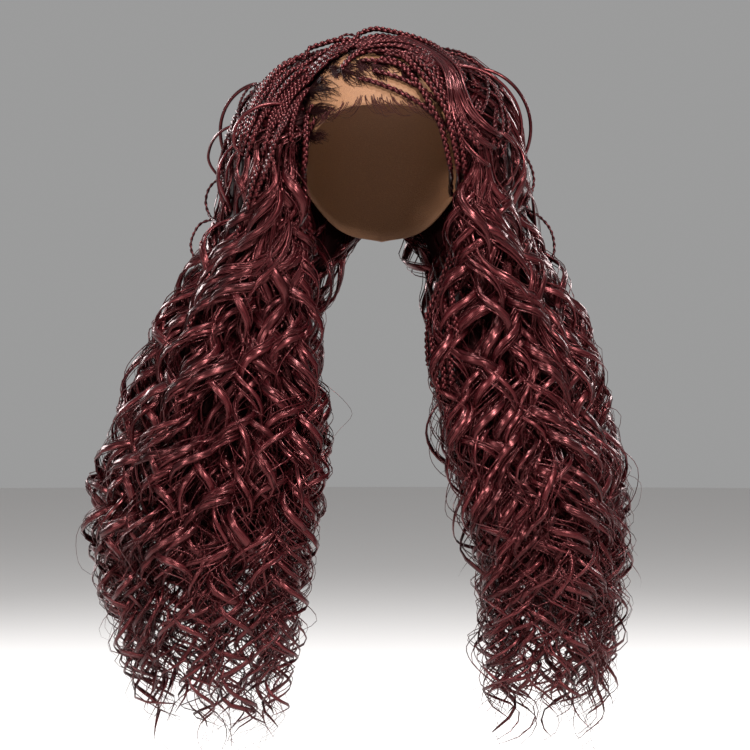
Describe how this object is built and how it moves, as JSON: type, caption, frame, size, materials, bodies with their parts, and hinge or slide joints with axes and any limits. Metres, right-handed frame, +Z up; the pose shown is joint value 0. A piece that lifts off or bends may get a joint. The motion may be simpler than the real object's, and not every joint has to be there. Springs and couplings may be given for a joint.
{
  "type": "braid wig",
  "caption": "Long wig of thin braids on a lace cap, with a side parting and loose curly ends that fall in front of both shoulders",
  "frame": {"origin": "inside top of the lace cap, where it sits on the crown of the head", "axes": "+Z up along the head, -Y to the wig's front, +X to the right as seen from the front"},
  "size_m": [0.5116, 0.298, 0.7432],
  "materials": {
    "lace": "fine tan lace net",
    "braid": "dark burgundy synthetic hair, plaited, satin",
    "curl": "dark burgundy synthetic hair, loose waves, glossy"
  },
  "bodies": {
    "root": {"lace_cap": "lace", "braid_left_01": "braid", "braid_left_02": "braid", "braid_left_03": "braid", "braid_left_04": "braid", "braid_left_05": "braid", "braid_left_06": "braid", "braid_left_07": "braid", "braid_left_08": "braid", "braid_left_09": "braid", "braid_left_10": "braid", "braid_left_11": "braid", "braid_left_12": "braid", "braid_left_13": "braid", "braid_right_01": "braid", "braid_right_02": "braid", "braid_right_03": "braid", "braid_right_04": "braid", "braid_right_05": "braid", "braid_right_06": "braid", "braid_right_07": "braid", "braid_right_08": "braid", "braid_right_09": "braid", "braid_right_10": "braid", "braid_right_11": "braid", "braid_right_12": "braid", "braid_right_13": "braid", "curls_left_front": "curl", "curls_left_side": "curl", "curls_left_back": "curl", "curls_right_front": "curl", "curls_right_side": "curl", "curls_right_back": "curl"}
  },
  "joints": []
}
